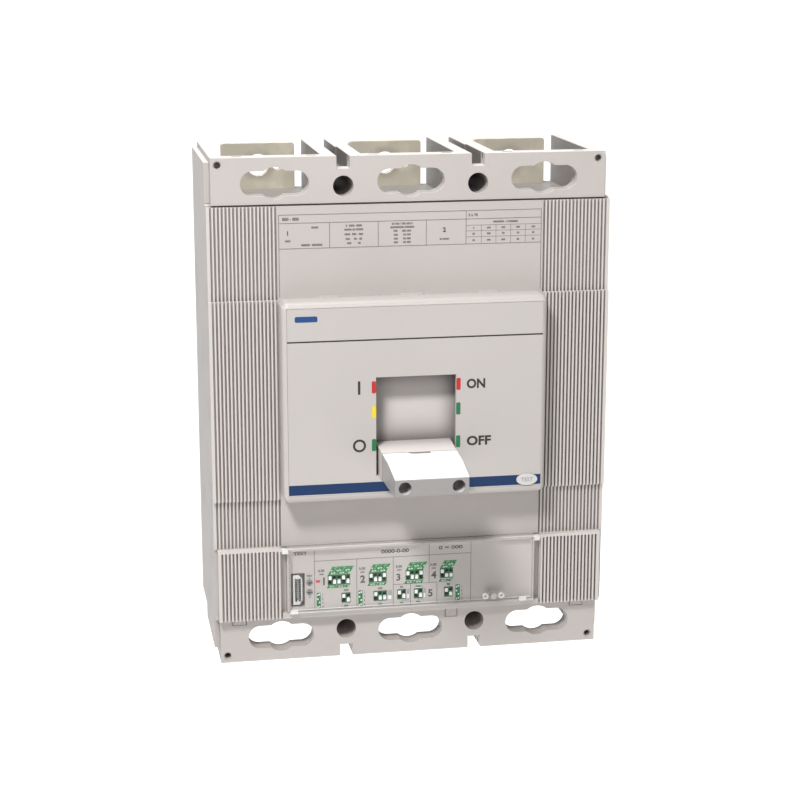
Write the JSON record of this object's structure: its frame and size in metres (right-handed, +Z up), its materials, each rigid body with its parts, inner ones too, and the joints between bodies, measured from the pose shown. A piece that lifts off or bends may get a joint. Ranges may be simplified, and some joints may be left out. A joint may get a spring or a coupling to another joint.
{
  "type": "molded case circuit breaker",
  "caption": "Molded case breaker with a rocking handle, ribbed cover, open terminal bays, a push-to-trip button and an electronic trip unit under a clear hinged lid.",
  "frame": {"origin": "centre of the back mounting face, midway between the four mounting holes", "axes": "+X to the right seen from the front, +Y out of the back into the mounting plate, +Z up towards the line terminals"},
  "size_m": [0.21, 0.147, 0.268],
  "materials": {
    "case_moulding": "fine spark-eroded moulding texture, warm light grey",
    "escutcheon": "satin moulded, warm light grey",
    "handle_grey": "satin moulded grey",
    "handle_cap": "semi-gloss white moulding",
    "button_plastic": "satin pale grey",
    "steel": "zinc-plated pressed steel",
    "spring_steel": "bright spring wire",
    "shaft_moulding": "dark glass-filled moulding",
    "copper": "bare copper",
    "terminal_plating": "warm cream tin plating",
    "coil_resin": "cast resin",
    "chute_fibre": "vulcanised fibre",
    "unit_moulding": "fine moulded grey",
    "board": "green solder resist",
    "switch_green": "dark green moulding",
    "slider_white": "white moulding",
    "socket_shell": "off-white moulding",
    "jack": "plated jack",
    "clear_lid": "clear polycarbonate"
  },
  "bodies": {
    "case": {"base_case": "case_moulding", "main_cover": "case_moulding", "lower_cover": "case_moulding", "front_bezel": "escutcheon", "cover_screws": "steel", "mechanism_frame": "steel", "frame_pins": "steel", "upper_terminals": "terminal_plating", "lower_terminals": "terminal_plating", "flexible_shunts": "copper", "current_transformers": "coil_resin", "arc_chute_sides": "chute_fibre", "arc_chute_plates": "steel", "trip_unit_case": "unit_moulding", "trip_unit_board": "board", "switch_banks": "switch_green", "test_connector": "socket_shell", "test_jacks": "jack", "button_spring": "spring_steel"},
    "toggle": {"toggle_lever": "handle_grey", "toggle_shutter": "handle_grey", "toggle_cap": "handle_cap", "drive_springs": "spring_steel"},
    "contact_shaft": {"contact_shaft": "shaft_moulding", "contact_arms": "copper", "contact_springs": "spring_steel"},
    "upper_link": {"upper_links": "steel", "knee_pin": "steel"},
    "lower_link": {"lower_links": "steel"},
    "latch": {"latch_cradle": "steel"},
    "trip_bar": {"trip_bar": "shaft_moulding"},
    "test_button": {"test_button": "button_plastic"},
    "trip_lid": {"trip_window": "clear_lid"},
    "slider_overload_1": {"slider_overload_1": "slider_white"},
    "slider_overload_2": {"slider_overload_2": "slider_white"},
    "slider_overload_3": {"slider_overload_3": "slider_white"},
    "slider_overload_4": {"slider_overload_4": "slider_white"},
    "slider_overload_5": {"slider_overload_5": "slider_white"},
    "slider_short_1": {"slider_short_1": "slider_white"},
    "slider_short_2": {"slider_short_2": "slider_white"},
    "slider_short_3": {"slider_short_3": "slider_white"},
    "slider_short_4": {"slider_short_4": "slider_white"},
    "slider_instant_1": {"slider_instant_1": "slider_white"},
    "slider_instant_2": {"slider_instant_2": "slider_white"},
    "slider_instant_3": {"slider_instant_3": "slider_white"},
    "slider_instant_4": {"slider_instant_4": "slider_white"},
    "slider_ground_1": {"slider_ground_1": "slider_white"},
    "slider_ground_2": {"slider_ground_2": "slider_white"},
    "slider_ground_3": {"slider_ground_3": "slider_white"},
    "slider_overload_time_1": {"slider_overload_time_1": "slider_white"},
    "slider_overload_time_2": {"slider_overload_time_2": "slider_white"},
    "slider_short_time_1": {"slider_short_time_1": "slider_white"},
    "slider_short_time_2": {"slider_short_time_2": "slider_white"},
    "slider_short_time_3": {"slider_short_time_3": "slider_white"},
    "slider_memory_1": {"slider_memory_1": "slider_white"},
    "slider_memory_2": {"slider_memory_2": "slider_white"},
    "slider_neutral_1": {"slider_neutral_1": "slider_white"},
    "slider_neutral_2": {"slider_neutral_2": "slider_white"},
    "slider_ground_time_1": {"slider_ground_time_1": "slider_white"},
    "slider_ground_time_2": {"slider_ground_time_2": "slider_white"}
  },
  "joints": [
    {"name": "toggle_throw", "type": "hinge", "parent": "case", "child": "toggle", "pos_m": [0, -0.03, -0.004], "axis": [-1, 0, 0], "range_deg": [0, 24], "deforming": ["drive_springs"]},
    {"name": "shaft_turn", "type": "hinge", "parent": "case", "child": "contact_shaft", "pos_m": [0, -0.0295, -0.04], "axis": [-1, 0, 0], "range_deg": [0, 32.6]},
    {"name": "upper_link_turn", "type": "hinge", "parent": "case", "child": "upper_link", "pos_m": [0, -0.058, -0.02], "axis": [-1, 0, 0], "range_deg": [0, 18.85]},
    {"name": "lower_link_turn", "type": "hinge", "parent": "contact_shaft", "child": "lower_link", "pos_m": [0, -0.03807, -0.02649], "axis": [-1, 0, 0], "range_deg": [-47.6, 0]},
    {"name": "latch_release", "type": "hinge", "parent": "case", "child": "latch", "pos_m": [0, -0.054, -0.038], "axis": [-1, 0, 0], "range_deg": [0, 10]},
    {"name": "trip_bar_turn", "type": "hinge", "parent": "case", "child": "trip_bar", "pos_m": [0, -0.064, -0.054], "axis": [-1, 0, 0], "range_deg": [0, 12.1]},
    {"name": "test_press", "type": "slide", "parent": "case", "child": "test_button", "axis": [0, 1, 0], "range_m": [0, 0.0025], "stiffness_N_per_m": 400, "springref_m": -0.0005, "deforming": ["button_spring"]},
    {"name": "lid_open", "type": "hinge", "parent": "case", "child": "trip_lid", "pos_m": [0, -0.091, -0.0721], "axis": [-1, 0, 0], "range_deg": [0, 90]},
    {"name": "slide_overload_1", "type": "slide", "parent": "case", "child": "slider_overload_1", "axis": [0, 0, 1], "range_m": [-0.0022, 0]},
    {"name": "slide_overload_2", "type": "slide", "parent": "case", "child": "slider_overload_2", "axis": [0, 0, 1], "range_m": [0, 0.0022]},
    {"name": "slide_overload_3", "type": "slide", "parent": "case", "child": "slider_overload_3", "axis": [0, 0, 1], "range_m": [0, 0.0022]},
    {"name": "slide_overload_4", "type": "slide", "parent": "case", "child": "slider_overload_4", "axis": [0, 0, 1], "range_m": [-0.0022, 0]},
    {"name": "slide_overload_5", "type": "slide", "parent": "case", "child": "slider_overload_5", "axis": [0, 0, 1], "range_m": [0, 0.0022]},
    {"name": "slide_short_1", "type": "slide", "parent": "case", "child": "slider_short_1", "axis": [0, 0, 1], "range_m": [-0.0022, 0]},
    {"name": "slide_short_2", "type": "slide", "parent": "case", "child": "slider_short_2", "axis": [0, 0, 1], "range_m": [0, 0.0022]},
    {"name": "slide_short_3", "type": "slide", "parent": "case", "child": "slider_short_3", "axis": [0, 0, 1], "range_m": [0, 0.0022]},
    {"name": "slide_short_4", "type": "slide", "parent": "case", "child": "slider_short_4", "axis": [0, 0, 1], "range_m": [-0.0022, 0]},
    {"name": "slide_instant_1", "type": "slide", "parent": "case", "child": "slider_instant_1", "axis": [0, 0, 1], "range_m": [-0.0022, 0]},
    {"name": "slide_instant_2", "type": "slide", "parent": "case", "child": "slider_instant_2", "axis": [0, 0, 1], "range_m": [0, 0.0022]},
    {"name": "slide_instant_3", "type": "slide", "parent": "case", "child": "slider_instant_3", "axis": [0, 0, 1], "range_m": [0, 0.0022]},
    {"name": "slide_instant_4", "type": "slide", "parent": "case", "child": "slider_instant_4", "axis": [0, 0, 1], "range_m": [-0.0022, 0]},
    {"name": "slide_ground_1", "type": "slide", "parent": "case", "child": "slider_ground_1", "axis": [0, 0, 1], "range_m": [-0.0022, 0]},
    {"name": "slide_ground_2", "type": "slide", "parent": "case", "child": "slider_ground_2", "axis": [0, 0, 1], "range_m": [0, 0.0022]},
    {"name": "slide_ground_3", "type": "slide", "parent": "case", "child": "slider_ground_3", "axis": [0, 0, 1], "range_m": [0, 0.0022]},
    {"name": "slide_overload_time_1", "type": "slide", "parent": "case", "child": "slider_overload_time_1", "axis": [0, 0, 1], "range_m": [-0.0022, 0]},
    {"name": "slide_overload_time_2", "type": "slide", "parent": "case", "child": "slider_overload_time_2", "axis": [0, 0, 1], "range_m": [0, 0.0022]},
    {"name": "slide_short_time_1", "type": "slide", "parent": "case", "child": "slider_short_time_1", "axis": [0, 0, 1], "range_m": [-0.0022, 0]},
    {"name": "slide_short_time_2", "type": "slide", "parent": "case", "child": "slider_short_time_2", "axis": [0, 0, 1], "range_m": [0, 0.0022]},
    {"name": "slide_short_time_3", "type": "slide", "parent": "case", "child": "slider_short_time_3", "axis": [0, 0, 1], "range_m": [0, 0.0022]},
    {"name": "slide_memory_1", "type": "slide", "parent": "case", "child": "slider_memory_1", "axis": [0, 0, 1], "range_m": [-0.0022, 0]},
    {"name": "slide_memory_2", "type": "slide", "parent": "case", "child": "slider_memory_2", "axis": [0, 0, 1], "range_m": [0, 0.0022]},
    {"name": "slide_neutral_1", "type": "slide", "parent": "case", "child": "slider_neutral_1", "axis": [0, 0, 1], "range_m": [-0.0022, 0]},
    {"name": "slide_neutral_2", "type": "slide", "parent": "case", "child": "slider_neutral_2", "axis": [0, 0, 1], "range_m": [0, 0.0022]},
    {"name": "slide_ground_time_1", "type": "slide", "parent": "case", "child": "slider_ground_time_1", "axis": [0, 0, 1], "range_m": [-0.0022, 0]},
    {"name": "slide_ground_time_2", "type": "slide", "parent": "case", "child": "slider_ground_time_2", "axis": [0, 0, 1], "range_m": [0, 0.0022]}
  ],
  "couplings": [
    {"joint": "shaft_turn", "follows": "toggle_throw", "ratio": 1.35},
    {"joint": "upper_link_turn", "follows": "toggle_throw", "ratio": 0.77708},
    {"joint": "lower_link_turn", "follows": "toggle_throw", "ratio": -1.975},
    {"joint": "trip_bar_turn", "follows": "test_press", "rad_per_m": 83.776}
  ]
}
